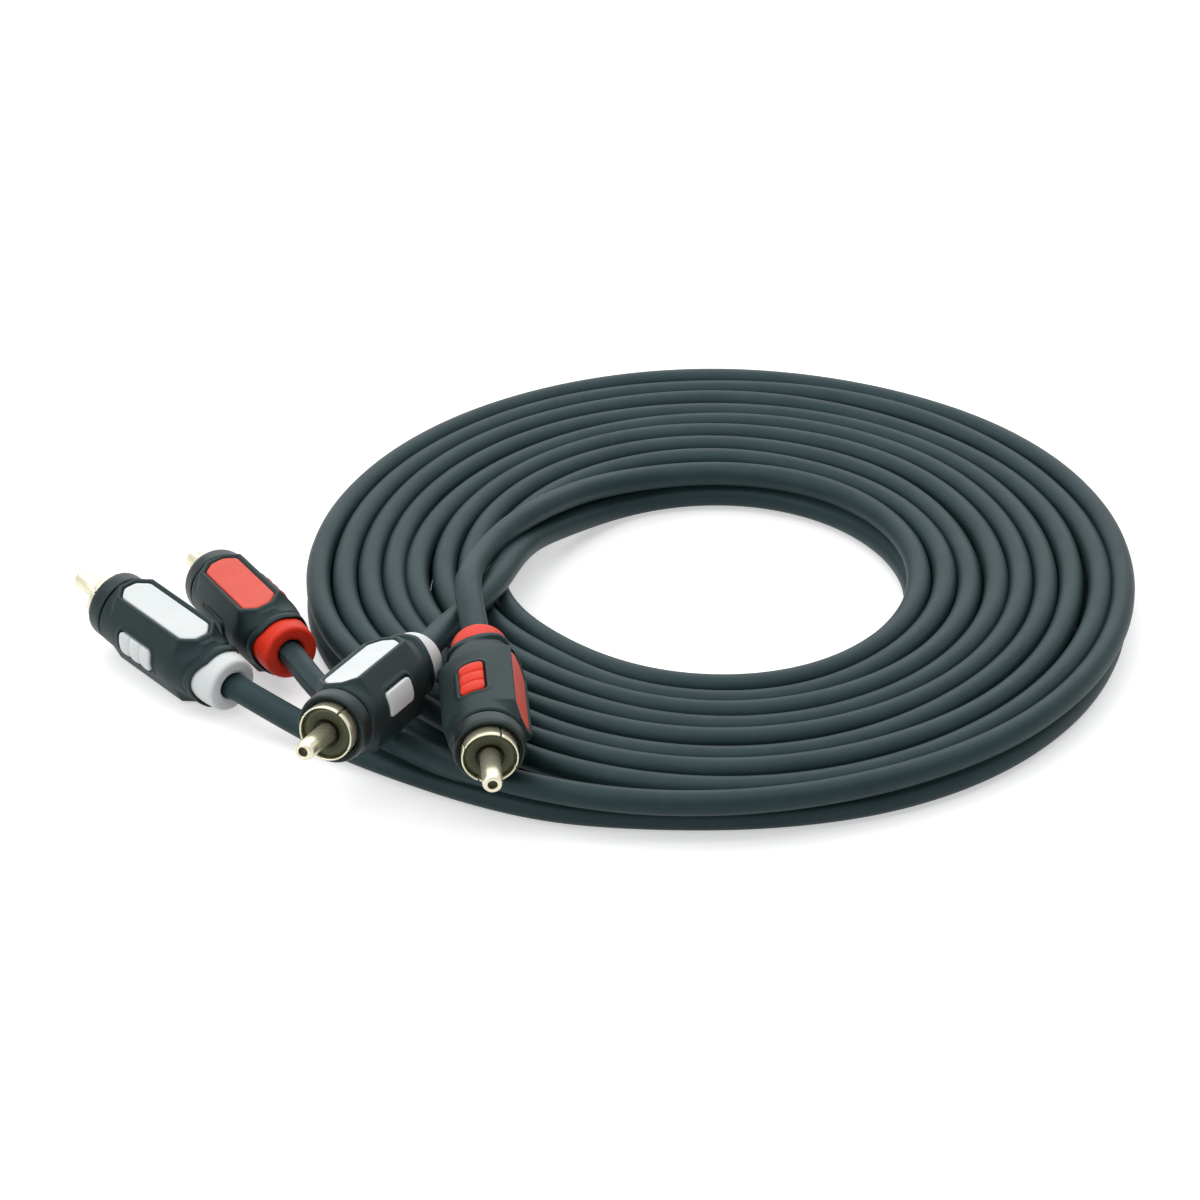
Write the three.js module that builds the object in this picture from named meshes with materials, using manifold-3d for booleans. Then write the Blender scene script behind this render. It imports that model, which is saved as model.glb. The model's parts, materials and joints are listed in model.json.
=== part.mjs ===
// A stereo phono cable: two round wires wound together as a flat two-layer coil, with a moulded plug on
// each of the four ends. Millimetres, +Z up, lying on z = 0.

import * as THREE from 'three';
import { mergeVertices } from 'three/addons/utils/BufferGeometryUtils.js';
import Module from 'manifold-3d';

const wasm = await Module();
wasm.setup();

// Fits
const GAP = 0.3;

// Wire and coil
const WIRE_D = 4.2;
const COIL_R = 69.7;
const COIL_HOLE_R = 33.4;
const COIL_X = 20.2;
const COIL_Y = -2.5;
const LOWER_Z = WIRE_D / 2;
const UPPER_Z = LOWER_Z + WIRE_D + GAP;
const COIL_TOP = UPPER_Z + WIRE_D / 2;

// Connector, on the plug's axis: stations are measured back from the front face of the nose ring
const PIN_D = 3.2;
const PIN_OUT = 9.6;
const PIN_HOLE_D = 1.3;
const PIN_HOLE_DEPTH = 3;
const PIN_TAIL_D = 2;
const SLEEVE_OD = 9;
const SLEEVE_WALL = 0.35;
const SLEEVE_OUT = 1.9;
const SLEEVE_BACK = 12;
const SLEEVE_SLOTS = 4;
const SLOT_WIDTH = 0.5;
const SLOT_END = 3;
const TAB_WIDTH = 2.4;
const TAB_LENGTH = 5;
const INSULATOR_FRONT = 4;
const INSULATOR_BACK = 10.5;
const SOLDER_BACK = 14;

// Nose ring
const NOSE_FRONT_D = 11.2;
const NOSE_BACK_D = 11.9;
const NOSE_LENGTH = 3;
const NOSE_RECESS = 0.8;

// Boot
const BOOT_FRONT = NOSE_LENGTH + GAP;
const BOOT_D = 12;
const BOOT_BACK = 27.7;
const SADDLE_BACK = 25.6;
const SADDLE_R = 8.2;
const FRONT_STEP = 1.1;
const PLATEAU_HEIGHT = 6.1;
const PLATEAU_WIDTH = 8;
const PLATEAU_FRONT = BOOT_FRONT + 0.2;
const PLATEAU_BACK = 24.7;
const CORNER = 2.4;

// Coloured inner moulding
const INLAY_WIDTH = 6;
const INLAY_FRONT = PLATEAU_FRONT + 1.3;
const INLAY_BACK = PLATEAU_BACK - 1.3;
const INLAY_SUNK = 0.25;
const CORE_D = 10.4;
const CORE_BORE_D = 7;
const COLLAR_D = 9.4;
const COLLAR_BACK = 31.4;
const COLLAR_MOUTH_D = WIRE_D + 2 * GAP;
const PAD_FRONT = 9;
const PAD_BACK = 16;
const PAD_WIDTH = 4.2;
const PAD_PROUD = 0.35;
const PAD_RIBS = 3;
const RIB_GROOVE = 0.35;

// Wire end inside the collar, and the insulated conductor between it and the pin
const WIRE_END = 24.6;
const LEAD_D = 1.8;

// The point that every place below is measured from, moved to the frame's origin
const HOME = [-49.02, -37.83];

// Plugs: front face of the nose ring, heading of the pin, dip of the pin and roll of the plateau, degrees
const WHITE = 0xf2f4f4;
const RED = 0xd8392b;
const PLUGS = [
  { name: 'left_white', colour: WHITE, nose: [-80.2, -14.2, 8], yaw: 131.5, pitch: 3, roll: 4 },
  { name: 'left_red', colour: RED, nose: [-64.3, -3.8, 6.2], yaw: 117, pitch: -5, roll: 12.6, blind: 1 },
  { name: 'front_white', colour: WHITE, nose: [-41.9, -70.2, 18.7], yaw: -114, pitch: 8, roll: -17, smooth: true },
  { name: 'front_red', colour: RED, nose: [-17.2, -71.2, 15.2], yaw: -86, pitch: 0, roll: 69 },
];

// Wire leads outside the coil. Each starts inside its plug's collar, so its first points come from the plug.
const LEADS = [
  {
    name: 'white_lead_in',
    plug: 'left_white',
    route: [
      [-53.2, -42.2, 5.2], [-47.5, -46, 3.6], [-41, -49.9, 2.4], [-33.5, -54.6, LOWER_Z], [-27, -58.7, LOWER_Z],
      [-22, -61.6, LOWER_Z],
    ],
  },
  {
    name: 'red_lead_in',
    plug: 'left_red',
    route: [[-46.6, -39.9, 8.7], [-42.2, -44.8, 7.7], [-37, -49.3, 6.8], [-32.4, -53, UPPER_Z], [-29.7, -54.9, UPPER_Z]],
  },
  {
    name: 'white_lead_out',
    plug: 'front_white',
    route: [
      [-24.6, -28.5, 12.3], [-22.3, -24, 11.3], [-20, -19.7, COIL_TOP + GAP + WIRE_D / 2], [-17.8, -14.6, 11.1],
      [-16, -9, 11.1], [-14.6, -2, 11.1],
    ],
  },
  {
    name: 'red_lead_out',
    plug: 'front_red',
    route: [
      [-20.7, -29.5, 15.9], [-21.5, -24, 15.9], [-22.3, -18, 15.2], [-22.6, -11.5, 13.2], [-21.2, -4, 11.3],
      [-16.7, 3.5, 11.1], [-10.3, 11.7, 11.1], [-4.6, 18.6, 11.1], [1.8, 24.6, 11.1],
    ],
  },
];
const LEAD_SIDES = 8;
const LEAD_STEP = 2.6 * WIRE_D;

// A closed solid from a closed geometry, with its shared vertices merged and its faces pointing out.
function solid(geometry) {
  const plain = geometry.index ? geometry.toNonIndexed() : geometry.clone();
  plain.deleteAttribute('normal');
  plain.deleteAttribute('uv');
  const merged = mergeVertices(plain, 1e-4);
  const vertProperties = new Float32Array(merged.attributes.position.array);
  const point = (i) => new THREE.Vector3().fromArray(vertProperties, 3 * i);
  const faces = [];
  let volume = 0;
  for (let i = 0; i < merged.index.count; i += 3) {
    const [a, b, c] = [0, 1, 2].map((k) => merged.index.getX(i + k));
    if (a === b || b === c || c === a) continue;
    volume += point(a).dot(point(b).cross(point(c)));
    faces.push([a, b, c]);
  }
  const triVerts = new Uint32Array(faces.flatMap(([a, b, c]) => (volume > 0 ? [a, b, c] : [a, c, b])));
  return new wasm.Manifold(new wasm.Mesh({ numProp: 3, vertProperties, triVerts }));
}

function geometryOf(manifold) {
  const { numProp, vertProperties, triVerts } = manifold.getMesh();
  const position = new Float32Array((vertProperties.length / numProp) * 3);
  for (let i = 0; i < position.length / 3; i += 1) {
    position.set(vertProperties.subarray(i * numProp, i * numProp + 3), 3 * i);
  }
  const geometry = new THREE.BufferGeometry();
  geometry.setAttribute('position', new THREE.BufferAttribute(position, 3));
  geometry.setIndex(new THREE.BufferAttribute(new Uint32Array(triVerts), 1));
  geometry.computeVertexNormals();
  return geometry;
}

// A solid of revolution about the plug's axis, from [station, radius] points that end on the axis or close.
function turned(profile, segments = 28) {
  const points = profile.map(([station, radius]) => new THREE.Vector2(radius, -station));
  const onAxis = profile[0][1] === 0 && profile.at(-1)[1] === 0;
  if (!onAxis) points.push(points[0].clone());
  return solid(new THREE.LatheGeometry(points, segments).rotateZ(-Math.PI / 2));
}

function rod(front, back, radius, segments = 28) {
  return turned([[front, 0], [front, radius], [back, radius], [back, 0]], segments);
}

// A box between two stations, centred on y and z.
function block(front, back, width, height, y = 0, z = 0) {
  const box = new THREE.BoxGeometry(back - front, width, height);
  return solid(box.translate(-(front + back) / 2, y, z));
}

// A long octagon in the plateau's plane, extruded both ways from the axis to the given height.
function octagon(front, back, width, corner, height, bevel = 0) {
  const w = width / 2 - bevel;
  const f = -front - bevel;
  const b = -back + bevel;
  const outline = new THREE.Shape([
    [f, -w + corner], [f, w - corner], [f - corner, w], [b + corner, w],
    [b, w - corner], [b, -w + corner], [b + corner, -w], [f - corner, -w],
  ].map(([x, y]) => new THREE.Vector2(x, y)));
  const depth = 2 * (height - bevel);
  const prism = new THREE.ExtrudeGeometry(outline, {
    depth, bevelEnabled: bevel > 0, bevelThickness: bevel, bevelSize: bevel, bevelSegments: 1,
  });
  return solid(prism.translate(0, 0, -depth / 2));
}

// A side pad's outline with rounded corners, extruded from the axis out through one flank.
function padBlock(side, grow, radius) {
  const r = 0.9;
  const w = PAD_WIDTH / 2 + grow;
  const outline = new THREE.Shape();
  const f = -PAD_FRONT + grow;
  const b = -PAD_BACK - grow;
  outline.moveTo(f - r, -w);
  outline.absarc(f - r, -w + r, r, -Math.PI / 2, 0, false);
  outline.absarc(f - r, w - r, r, 0, Math.PI / 2, false);
  outline.absarc(b + r, w - r, r, Math.PI / 2, Math.PI, false);
  outline.absarc(b + r, -w + r, r, Math.PI, Math.PI * 1.5, false);
  const reach = 2 * BOOT_D;
  const column = new THREE.ExtrudeGeometry(outline, { depth: reach, bevelEnabled: false, curveSegments: 3 });
  column.rotateX(Math.PI / 2);
  if (side > 0) column.translate(0, reach, 0);
  const start = CORE_D / 2 - 0.6;
  column.translate(0, side * start, 0);
  return solid(column).intersect(rod(PAD_FRONT - 2, PAD_BACK + 2, radius, 32));
}

function pin() {
  const r = PIN_D / 2;
  return turned([
    [-PIN_OUT + PIN_HOLE_DEPTH, 0], [-PIN_OUT + PIN_HOLE_DEPTH, PIN_HOLE_D / 2], [-PIN_OUT, PIN_HOLE_D / 2],
    [-PIN_OUT, r - 0.6], [-PIN_OUT + 0.4, r - 0.15], [-PIN_OUT + 1, r], [INSULATOR_BACK + GAP, r],
    [INSULATOR_BACK + GAP, PIN_TAIL_D / 2], [SOLDER_BACK, PIN_TAIL_D / 2], [SOLDER_BACK, 0],
  ], 16);
}

function insulator() {
  const inner = PIN_D / 2 + GAP;
  const outer = SLEEVE_OD / 2 - SLEEVE_WALL - GAP;
  return turned([
    [INSULATOR_FRONT, inner], [INSULATOR_FRONT, outer], [INSULATOR_BACK, outer], [INSULATOR_BACK, inner],
  ], 24);
}

// The ground sleeve: a thin shell with slots at its mouth, a bottom flange and a solder tab.
function sleeve() {
  const outer = SLEEVE_OD / 2;
  const inner = outer - SLEEVE_WALL;
  const hole = SLEEVE_OD / 2 - 1.6;
  let shell = turned([
    [-SLEEVE_OUT, inner], [-SLEEVE_OUT, outer], [SLEEVE_BACK, outer], [SLEEVE_BACK, hole],
    [SLEEVE_BACK - 0.5, hole], [SLEEVE_BACK - 0.5, inner],
  ], 32);
  for (let i = 0; i < SLEEVE_SLOTS / 2; i += 1) {
    const across = i ? [SLOT_WIDTH, 2 * SLEEVE_OD] : [2 * SLEEVE_OD, SLOT_WIDTH];
    shell = shell.subtract(block(-SLEEVE_OUT - 1, SLOT_END, ...across));
  }
  const tab = block(SLEEVE_BACK - 0.4, SLEEVE_BACK + TAB_LENGTH, TAB_WIDTH, 0.5, 0, -hole - 0.1);
  return shell.add(tab);
}

function noseRing() {
  const inner = SLEEVE_OD / 2 + GAP;
  const front = NOSE_FRONT_D / 2;
  const back = NOSE_BACK_D / 2;
  return turned([
    [0, front - 0.7], [0, front - 0.35], [0.35, front], [NOSE_LENGTH - 0.4, back], [NOSE_LENGTH, back - 0.3],
    [NOSE_LENGTH, inner], [NOSE_RECESS, inner],
  ], 32);
}

// The coloured moulding inside the boot: it fills the boot's windows and ends in the rear collar.
function core(plug) {
  const outer = CORE_D / 2;
  const collar = COLLAR_D / 2;
  let body = turned([
    [BOOT_FRONT, 0], [BOOT_FRONT, outer], [BOOT_BACK, outer], [COLLAR_BACK - 1.6, collar],
    [COLLAR_BACK - 0.5, collar - 0.35], [COLLAR_BACK, collar - 0.95], [COLLAR_BACK, 0],
  ], 32);
  const corner = CORNER * 0.8;
  body = body.add(octagon(INLAY_FRONT, INLAY_BACK, INLAY_WIDTH, corner, PLATEAU_HEIGHT - INLAY_SUNK));
  for (const side of [-1, 1]) {
    if (side === plug.blind) continue;
    body = body.add(padBlock(side, 0, BOOT_D / 2 + PAD_PROUD));
  }
  const pitch = (PAD_BACK - PAD_FRONT) / PAD_RIBS;
  for (let i = 1; i < PAD_RIBS && !plug.smooth; i += 1) {
    const at = PAD_FRONT + i * pitch;
    const [front, back] = [at - RIB_GROOVE / 2, at + RIB_GROOVE / 2];
    const [low, high] = [BOOT_D / 2, BOOT_D / 2 + 2];
    body = body.subtract(turned([[front, low], [front, high], [back, high], [back, low]], 32));
  }
  const bore = SLEEVE_OD / 2 + GAP;
  const tabRoom = SLEEVE_BACK + TAB_LENGTH + GAP;
  const hollow = turned([
    [BOOT_FRONT - 1, 0], [BOOT_FRONT - 1, bore], [SLEEVE_BACK + GAP, bore], [SLEEVE_BACK + GAP, CORE_BORE_D / 2],
    [tabRoom, CORE_BORE_D / 2], [tabRoom, LEAD_D / 2 + GAP], [WIRE_END - GAP, LEAD_D / 2 + GAP],
    [WIRE_END - GAP, COLLAR_MOUTH_D / 2], [COLLAR_BACK + 1, COLLAR_MOUTH_D / 2], [COLLAR_BACK + 1, 0],
  ], 24);
  return body.subtract(hollow);
}

// The dark boot: a round body with two raised octagon plateaus, windows for the core and a saddle-shaped end.
function boot(plug) {
  const outer = BOOT_D / 2;
  let body = turned([
    [BOOT_FRONT, 0], [BOOT_FRONT, outer - 0.5], [BOOT_FRONT + FRONT_STEP, outer], [BOOT_BACK - 1.4, outer],
    [BOOT_BACK, outer - 0.5], [BOOT_BACK, 0],
  ], 32);
  body = body.add(octagon(PLATEAU_FRONT, PLATEAU_BACK, PLATEAU_WIDTH, CORNER, PLATEAU_HEIGHT, 0.4));
  if (plug.blind) body = body.add(padBlock(plug.blind, 0, outer + PAD_PROUD));
  body = body.subtract(rod(BOOT_FRONT - 1, BOOT_BACK + 1, CORE_D / 2 + GAP, 32));
  const corner = CORNER * 0.8;
  const window = octagon(INLAY_FRONT - GAP, INLAY_BACK + GAP, INLAY_WIDTH + 2 * GAP, corner, PLATEAU_HEIGHT + 1);
  body = body.subtract(window);
  for (const side of [-1, 1]) {
    if (side === plug.blind) continue;
    body = body.subtract(padBlock(side, GAP, BOOT_D));
  }
  const saddle = new THREE.CylinderGeometry(SADDLE_R, SADDLE_R, 4 * BOOT_D, 40).rotateX(Math.PI / 2);
  return body.subtract(solid(saddle.translate(-SADDLE_BACK - SADDLE_R, 0, 0)));
}

function conductor() {
  return rod(SOLDER_BACK + GAP, WIRE_END - GAP, LEAD_D / 2, 12);
}

const cable = new THREE.Group();
cable.position.set(-HOME[0], -HOME[1], 0);

function piece(parent, name, manifold, colour, roughness, metalness = 0) {
  const material = new THREE.MeshStandardMaterial({ color: colour, roughness, metalness });
  const mesh = new THREE.Mesh(geometryOf(manifold), material);
  mesh.name = name;
  parent.add(mesh);
}

function plugGroup(plug) {
  const group = new THREE.Group();
  group.position.set(...plug.nose);
  const [roll, pitch, yaw] = [plug.roll, plug.pitch, plug.yaw].map(THREE.MathUtils.degToRad);
  group.rotation.set(-roll, -pitch, yaw, 'ZYX');
  group.updateMatrix();
  piece(group, `${plug.name}_pin`, pin(), 0xd9d2b4, 0.25, 1);
  piece(group, `${plug.name}_insulator`, insulator(), 0x34362a, 0.5);
  piece(group, `${plug.name}_sleeve`, sleeve(), 0xd9d2b4, 0.25, 1);
  piece(group, `${plug.name}_nose_ring`, noseRing(), 0x23261f, 0.35);
  piece(group, `${plug.name}_core`, core(plug), plug.colour, 0.45);
  piece(group, `${plug.name}_boot`, boot(plug), 0x3c4443, 0.7);
  piece(group, `${plug.name}_conductor`, conductor(), 0xe8e6dc, 0.5);
  return group;
}

// One round coil layer, as the closed ring of its outer shape.
function coilLayer(middle) {
  const half = WIRE_D / 2;
  const edge = 1;
  const section = [
    [COIL_HOLE_R + edge, middle - half], [COIL_R - edge, middle - half], [COIL_R, middle - half + edge],
    [COIL_R, middle + half - edge], [COIL_R - edge, middle + half], [COIL_HOLE_R + edge, middle + half],
    [COIL_HOLE_R, middle + half - edge], [COIL_HOLE_R, middle - half + edge],
  ];
  section.push(section[0]);
  const ring = new THREE.LatheGeometry(section.map(([x, y]) => new THREE.Vector2(x, y)), 52);
  return solid(ring.rotateX(Math.PI / 2).translate(COIL_X, COIL_Y, 0));
}

// A plain tube along a lead: straight out of the plug's collar, then along its route.
function lead(plugs, { plug, route }) {
  const group = plugs[plug];
  const onAxis = (station) => new THREE.Vector3(-station, 0, 0).applyMatrix4(group.matrix);
  const points = [onAxis(WIRE_END), onAxis(COLLAR_BACK), onAxis(COLLAR_BACK + 2.5)];
  route.forEach((p) => points.push(new THREE.Vector3(...p)));
  const path = new THREE.CatmullRomCurve3(points);
  const section = new THREE.Shape();
  for (let i = 0; i <= LEAD_SIDES; i += 1) {
    const a = ((i + 0.5) / LEAD_SIDES) * 2 * Math.PI;
    const at = [(Math.cos(a) * WIRE_D) / 2, (Math.sin(a) * WIRE_D) / 2];
    if (i) section.lineTo(...at);
    else section.moveTo(...at);
  }
  const steps = Math.max(3, Math.round(path.getLength() / LEAD_STEP));
  return solid(new THREE.ExtrudeGeometry(section, { extrudePath: path, steps, bevelEnabled: false }));
}

const plugs = {};
for (const plug of PLUGS) {
  plugs[plug.name] = plugGroup(plug);
  cable.add(plugs[plug.name]);
}
const JACKET = 0x4a5659;
piece(cable, 'red_wire_coil', coilLayer(UPPER_Z), JACKET, 0.55);
piece(cable, 'white_wire_coil', coilLayer(LOWER_Z), JACKET, 0.55);
for (const route of LEADS) piece(cable, route.name, lead(plugs, route), JACKET, 0.55);

export default cable;
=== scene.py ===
import json
import math

import bmesh
import bpy
import numpy as np
from mathutils import Matrix, Vector, noise

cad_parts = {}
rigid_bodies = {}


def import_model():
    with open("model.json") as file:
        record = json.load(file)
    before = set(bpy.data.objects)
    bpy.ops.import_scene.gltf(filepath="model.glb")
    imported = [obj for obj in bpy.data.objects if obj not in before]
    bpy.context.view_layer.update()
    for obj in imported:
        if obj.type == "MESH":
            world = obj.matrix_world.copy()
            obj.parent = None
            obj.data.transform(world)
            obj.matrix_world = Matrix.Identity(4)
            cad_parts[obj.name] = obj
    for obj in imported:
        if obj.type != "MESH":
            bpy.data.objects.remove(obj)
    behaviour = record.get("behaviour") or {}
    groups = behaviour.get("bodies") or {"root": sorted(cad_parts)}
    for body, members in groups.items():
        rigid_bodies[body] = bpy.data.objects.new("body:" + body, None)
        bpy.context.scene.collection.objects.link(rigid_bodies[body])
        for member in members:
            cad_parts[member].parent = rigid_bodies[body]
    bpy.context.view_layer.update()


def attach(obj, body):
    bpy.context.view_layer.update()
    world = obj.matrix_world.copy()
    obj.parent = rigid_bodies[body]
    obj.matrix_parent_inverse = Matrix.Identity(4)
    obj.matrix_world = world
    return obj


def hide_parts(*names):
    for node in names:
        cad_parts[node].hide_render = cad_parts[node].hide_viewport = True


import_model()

MM = 0.001

# Places in millimetres, counted from the point where the camera's axis meets the floor, where HOME is the
# origin of the part
HOME = Vector((-49.02, -37.83, 0))
COIL_CENTRE = Vector((20.2, -2.5, 0))
PLUGS = {
    "left_white": dict(nose=(-80.2, -14.2, 8), yaw=131.5, pitch=3, roll=4),
    "left_red": dict(nose=(-64.3, -3.8, 6.2), yaw=117, pitch=-5, roll=12.6, blind=1),
    "front_white": dict(nose=(-41.9, -70.2, 18.7), yaw=-114, pitch=8, roll=-17, smooth=True),
    "front_red": dict(nose=(-17.2, -71.2, 15.2), yaw=-86, pitch=0, roll=69),
}

# The wires, in millimetres: the solids' diameter and gap set the two layers; the visual jacket is thinner.
# In a plug a wire starts at WIRE_END, leaves at COLLAR_BACK and goes straight on for a while, and both are
# counted back from the front face of the plug's nose ring
WIRE_D = 4.2
GAP = 0.3
LOWER_Z = WIRE_D / 2
UPPER_Z = LOWER_Z + WIRE_D + GAP
JACKET_D = 4.1
WIRE_END = 24.6
COLLAR_BACK = 31.4
STRAIGHT = 2.5
ROUTES = {
    "white_lead_in": [
        (-53.2, -42.2, 5.2), (-47.5, -46, 3.6), (-41, -49.9, 2.4), (-33.5, -54.6, LOWER_Z),
        (-27, -58.7, LOWER_Z), (-22, -61.6, LOWER_Z),
    ],
    "red_lead_in": [
        (-46.6, -39.9, 8.7), (-42.6, -45.2, 7.7), (-38, -50.1, 6.9), (-33.8, -54, UPPER_Z),
        (-31, -56.4, UPPER_Z),
    ],
    "white_lead_out": [
        (-24.6, -28.5, 12.3), (-22.3, -24, 11.3), (-20, -19.7, 11.1), (-17.8, -14.6, 11), (-16, -9, 10.6),
        (-14.6, -2, 9.4), (-12.6, 5.2, 7.8), (-9.4, 12.2, 6),
    ],
    "red_lead_out": [
        (-20.7, -29.5, 15.9), (-21.5, -24, 15.9), (-21.6, -18, 15.3), (-21, -11.2, 13.4),
        (-19.2, -3.6, 11.6), (-15.7, 4.4, 11.3), (-10.3, 11.7, 11), (-5.4, 18.8, 9.4), (0.4, 25.3, 7.8),
    ],
}

# The wound part of each wire: its height, where it starts and ends in degrees round the coil, how far
# outside the first turn it comes in and between which angles it settles, how uneven it lies, and its seed
COILS = {
    "red": dict(
        z=UPPER_Z, start=240, end=3345, outside=5.2, settle=(226, 308), lift=1.8, wave=0.3, seed=1.5,
    ),
    "white": dict(
        z=LOWER_Z, start=247, end=3360, outside=4.6, settle=(236, 272), lift=0.6, wave=0.1, seed=7.5,
    ),
}
# A turn keeps its radius nearly all the way round and steps in by one wire at its end
FIRST_TURN = 236
OUTER_TURN_R = 67.55
STEP_IN_FROM = 0.86
TURN_PITCH = 4.14
WIDER_ON_RIGHT = 0.05
WIDER_AT_BACK = 0.06
WIDER_ON_SIDES = 0.08
# The turns lie a little above the height of their layer
RESTS_ABOVE = 0.25
# The turns stray to the sides and up and down: by how much, how fast round the coil and from turn to turn
STRAY = 0.6
STRAY_ROUND = 1.3
STRAY_TURNS = 0.9
LIFT = 0.2
LIFT_ROUND = 1.6
LIFT_TURNS = 3.7
LIFT_APART = 9
# The lower turns lie further in on the right, the innermost ones less
TUCK_IN = 1.3
TUCKED_TURNS = 9
TUCK_FADE = 3
# The upper turns lie further out at the front, where the next ones follow the outermost part of the way
FRONT_SHIFT = 1.2
FOLLOW_AT = 262
FOLLOW = 3
FOLLOW_NEXT = 0.55
FOLLOW_WIDTH = 36

# How finely a wire is drawn
POINTS_PER_TURN = 24
POINTS_PER_SPAN = 12
SMOOTHINGS = 12
RING_STEP = 1.9
TUBE_SIDES = 18

# The fin of the split web: its height, its half width in degrees, its direction round the wire at the start,
# in the coil and at the end, and over which lengths it turns from one to the other
FIN_HEIGHT = 0.38
FIN_LEAN = 6
FINS = {"red": (60, 180, 100), "white": (-20, 0, 60)}
FIN_START_KEPT = 25
FIN_START_TURN = 35
FIN_END_KEPT = 30
FIN_END_TURN = 60

# Camera
VIEW_ELEVATION = 31
VIEW_DISTANCE = 0.9
FOCAL_PIXELS = 5340
IMAGE_PIXELS = 1200
SENSOR = 36
CLIP_START = 0.05
CLIP_END = 10


def camera():
    data = bpy.data.cameras.new("camera")
    data.sensor_width = SENSOR
    data.lens = FOCAL_PIXELS / IMAGE_PIXELS * SENSOR
    data.clip_start = CLIP_START
    data.clip_end = CLIP_END
    obj = bpy.data.objects.new("camera", data)
    bpy.context.collection.objects.link(obj)
    tilt = math.radians(VIEW_ELEVATION)
    target = -HOME * MM
    obj.location = target + VIEW_DISTANCE * Vector((0, -math.cos(tilt), math.sin(tilt)))
    obj.rotation_euler = (math.pi / 2 - tilt, 0, 0)
    bpy.context.scene.camera = obj


camera()


def smooth_step(x):
    x = min(1, max(0, x))
    return x * x * (3 - 2 * x)


def plug_matrix(plug):
    """A plug's place in the part, in millimetres: its x axis points out of the nose, along the pin."""
    roll, pitch, yaw = (math.radians(plug[key]) for key in ("roll", "pitch", "yaw"))
    turn = Matrix.Rotation(yaw, 3, "Z") @ Matrix.Rotation(-pitch, 3, "Y") @ Matrix.Rotation(-roll, 3, "X")
    return Matrix.Translation(Vector(plug["nose"]) - HOME) @ turn.to_4x4()


def collar_points(name):
    """The wire's straight start inside and just behind a plug's collar."""
    place = plug_matrix(PLUGS[name])
    return [place @ Vector((-station, 0, 0)) for station in (WIRE_END, COLLAR_BACK, COLLAR_BACK + STRAIGHT)]


def turn_pitch(angle):
    """The spacing of the turns, which lie closest at the front and loosest on the right."""
    wider = WIDER_ON_RIGHT * math.cos(angle) + WIDER_AT_BACK * math.sin(angle)
    return TURN_PITCH + wider + WIDER_ON_SIDES * math.cos(2 * angle)


def tucked_in(angle, turn):
    """How much further in a lower turn lies on the right."""
    turns_left = min(1, max(0, (TUCKED_TURNS - turn) / TUCK_FADE))
    return TUCK_IN * max(0, math.cos(angle)) ** 3 * turns_left


def followed_out(degrees, turn):
    """How far an upper turn follows the outermost one out at the front."""
    if turn == 0:
        return 0
    from_there = (degrees - FOLLOW_AT + 180) % 360 - 180
    return FOLLOW * FOLLOW_NEXT**turn * math.exp(-((from_there / FOLLOW_WIDTH) ** 2))


def wound(coil):
    """Points along the wound part of a wire, from its outermost turn inward, as its angle grows."""
    points = []
    start, end = coil["start"], coil["end"]
    settle_from, settle_to = coil["settle"]
    upper = coil["z"] > WIRE_D
    count = round((end - start) / 360 * POINTS_PER_TURN)
    for i in range(count + 1):
        degrees = start + (end - start) * i / count
        angle = math.radians(degrees)
        right, back = math.cos(angle), math.sin(angle)
        turns = (degrees - FIRST_TURN) / 360
        turn = math.floor(max(turns, 0))
        steps = turn + smooth_step((turns - turn - STEP_IN_FROM) / (1 - STEP_IN_FROM))
        settled = smooth_step((degrees - settle_from) / (settle_to - settle_from))
        radius = OUTER_TURN_R + coil["outside"] * (1 - settled) - turn_pitch(angle) * steps
        across = (coil["seed"], right * STRAY_ROUND + turn * STRAY_TURNS, back * STRAY_ROUND)
        radius += STRAY * noise.noise(Vector(across))
        above = (coil["seed"] + LIFT_APART, right * LIFT_ROUND, back * LIFT_ROUND + turn * LIFT_TURNS)
        lift = LIFT * coil["lift"] * noise.noise(Vector(above))
        front = max(0, -back) ** 2
        wave = coil["wave"] * front * (-1) ** turn
        if upper:
            radius += followed_out(degrees, turn)
        else:
            radius -= tucked_in(angle, turn)
        shift = FRONT_SHIFT * front if upper else 0
        at = COIL_CENTRE + Vector((radius * right, radius * back - shift, 0))
        points.append(at + Vector((0, 0, coil["z"] + RESTS_ABOVE + lift + wave)) - HOME)
    return points


def evenly(points, step):
    """A smooth curve along the points, as points one step apart."""
    p = np.array([list(v) for v in points], float)
    p = np.vstack([2 * p[0] - p[1], p, 2 * p[-1] - p[-2]])
    fine = []
    # between b and c, a Catmull-Rom spline, which their neighbours a and d bend
    for a, b, c, d in zip(p, p[1:], p[2:], p[3:]):
        t = np.linspace(0, 1, POINTS_PER_SPAN, endpoint=False)[:, None]
        bend = (2 * a - 5 * b + 4 * c - d) * t**2 + (3 * b - a - 3 * c + d) * t**3
        fine.append(0.5 * (2 * b + (c - a) * t + bend))
    fine = np.vstack(fine + [p[-2:-1]])
    along = np.concatenate([[0], np.cumsum(np.linalg.norm(np.diff(fine, axis=0), axis=1))])
    at = np.linspace(0, along[-1], round(along[-1] / step) + 1)
    even = np.stack([np.interp(at, along, fine[:, k]) for k in range(3)], axis=1)
    for _ in range(SMOOTHINGS):
        even[2:-2] = (even[1:-3] + 2 * even[2:-2] + even[3:-1]) / 4
    return even


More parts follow.
